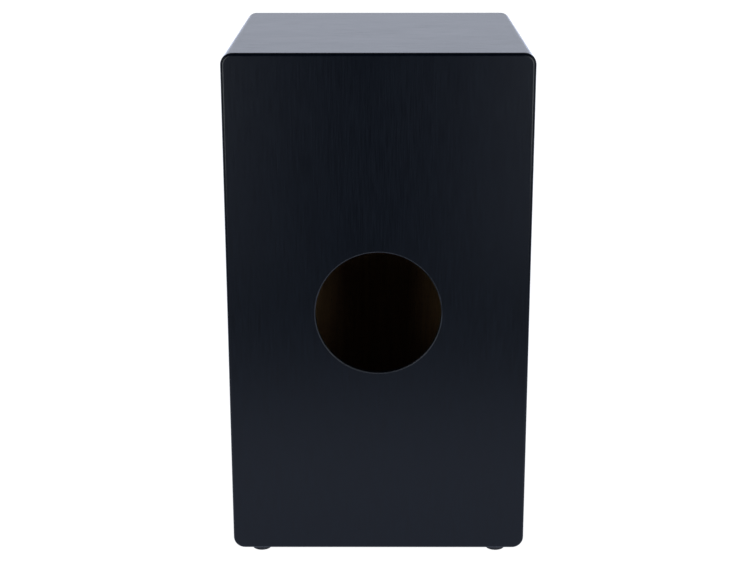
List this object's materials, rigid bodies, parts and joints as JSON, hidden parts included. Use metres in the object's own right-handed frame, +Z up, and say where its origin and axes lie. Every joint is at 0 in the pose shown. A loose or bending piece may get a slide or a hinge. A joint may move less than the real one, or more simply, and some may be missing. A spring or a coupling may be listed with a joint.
{
  "type": "cajon",
  "caption": "Seat-high wooden box drum with a thin screwed playing plate, a round sound hole behind, rubber feet and an adjustable snare bar inside.",
  "frame": {"origin": "on the floor under the middle of the box, at the bottom centre of the bounding box", "axes": "+Z up; the playing plate (tapa) faces -Y and the rear panel with the sound hole faces +Y; +X is to the right when looking at the playing plate from the front"},
  "size_m": [0.285, 0.3, 0.4985],
  "materials": {
    "black_lacquer": "satin black lacquer on plywood outside, bare plywood inside",
    "bare_wood": "planed and sanded, unfinished",
    "rubber": "moulded, matt",
    "zinc_plated_steel": "bright zinc plating",
    "bright_steel": "drawn wire and rolled strip, bright",
    "black_steel": "black phosphated wood screws"
  },
  "bodies": {
    "box": {"top_board": "black_lacquer", "bottom_board": "black_lacquer", "left_side": "black_lacquer", "right_side": "black_lacquer", "rear_panel": "black_lacquer", "tapa": "black_lacquer", "corner_block_top_left": "bare_wood", "corner_block_top_right": "bare_wood", "corner_block_bottom_left": "bare_wood", "corner_block_bottom_right": "bare_wood", "foot_front_left": "rubber", "foot_front_right": "rubber", "foot_rear_left": "rubber", "foot_rear_right": "rubber", "foot_washers": "zinc_plated_steel", "foot_screws": "zinc_plated_steel", "bracket_left": "zinc_plated_steel", "bracket_right": "zinc_plated_steel", "bracket_screws": "zinc_plated_steel", "pivot_spacers": "zinc_plated_steel", "pivot_washers": "zinc_plated_steel", "tapa_screws": "black_steel"},
    "snare": {"snare_bar": "bare_wood", "snare_plate_left": "bright_steel", "snare_plate_right": "bright_steel", "snare_end_plate_left": "bright_steel", "snare_end_plate_right": "bright_steel", "snare_wires_left": "bright_steel", "snare_wires_right": "bright_steel", "snare_plate_screws": "zinc_plated_steel", "pivot_bolt_left": "zinc_plated_steel", "pivot_bolt_right": "zinc_plated_steel"},
    "nut_left": {"wing_nut_left": "zinc_plated_steel"},
    "nut_right": {"wing_nut_right": "zinc_plated_steel"}
  },
  "joints": [
    {"name": "snare_bar_tilt", "type": "hinge", "parent": "box", "child": "snare", "pos_m": [0, -0.132, 0.4655], "axis": [1, 0, 0], "range_deg": [0, 20]},
    {"name": "wing_nut_left_turn", "type": "hinge", "parent": "snare", "child": "nut_left", "pos_m": [-0.0913, -0.132, 0.4655], "axis": [-1, 0, 0], "continuous": true},
    {"name": "wing_nut_right_turn", "type": "hinge", "parent": "snare", "child": "nut_right", "pos_m": [0.0913, -0.132, 0.4655], "axis": [1, 0, 0], "continuous": true}
  ]
}
